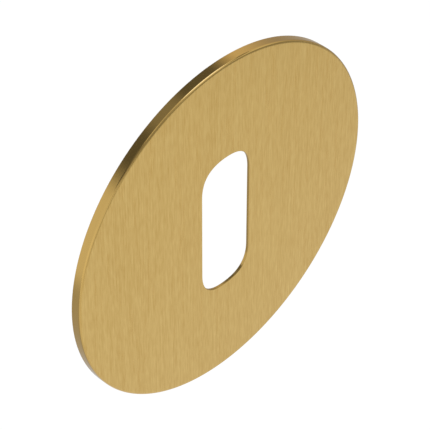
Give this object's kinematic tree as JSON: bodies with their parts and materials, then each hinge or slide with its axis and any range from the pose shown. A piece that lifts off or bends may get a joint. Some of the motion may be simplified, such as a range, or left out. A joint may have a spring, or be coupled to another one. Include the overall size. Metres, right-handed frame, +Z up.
{
  "type": "keyhole escutcheon",
  "caption": "Flat round brushed-brass escutcheon: a shallow thin-walled cap with a turned-back rim and an upright rounded slot that lets a key through to the lock.",
  "frame": {"origin": "centre of the plane that the rim's back edge lies on, which is the door or drawer face", "axes": "+Y out of the back, into the door; the brushed front faces -Y; +Z up along the key slot; +X to the right as seen from the front"},
  "size_m": [0.053, 0.0015, 0.053],
  "materials": {
    "brushed_brass": "satin brass, brushed along the slot on the front, smoother on the rim"
  },
  "bodies": {
    "root": {"escutcheon_cap": "brushed_brass"}
  },
  "joints": []
}
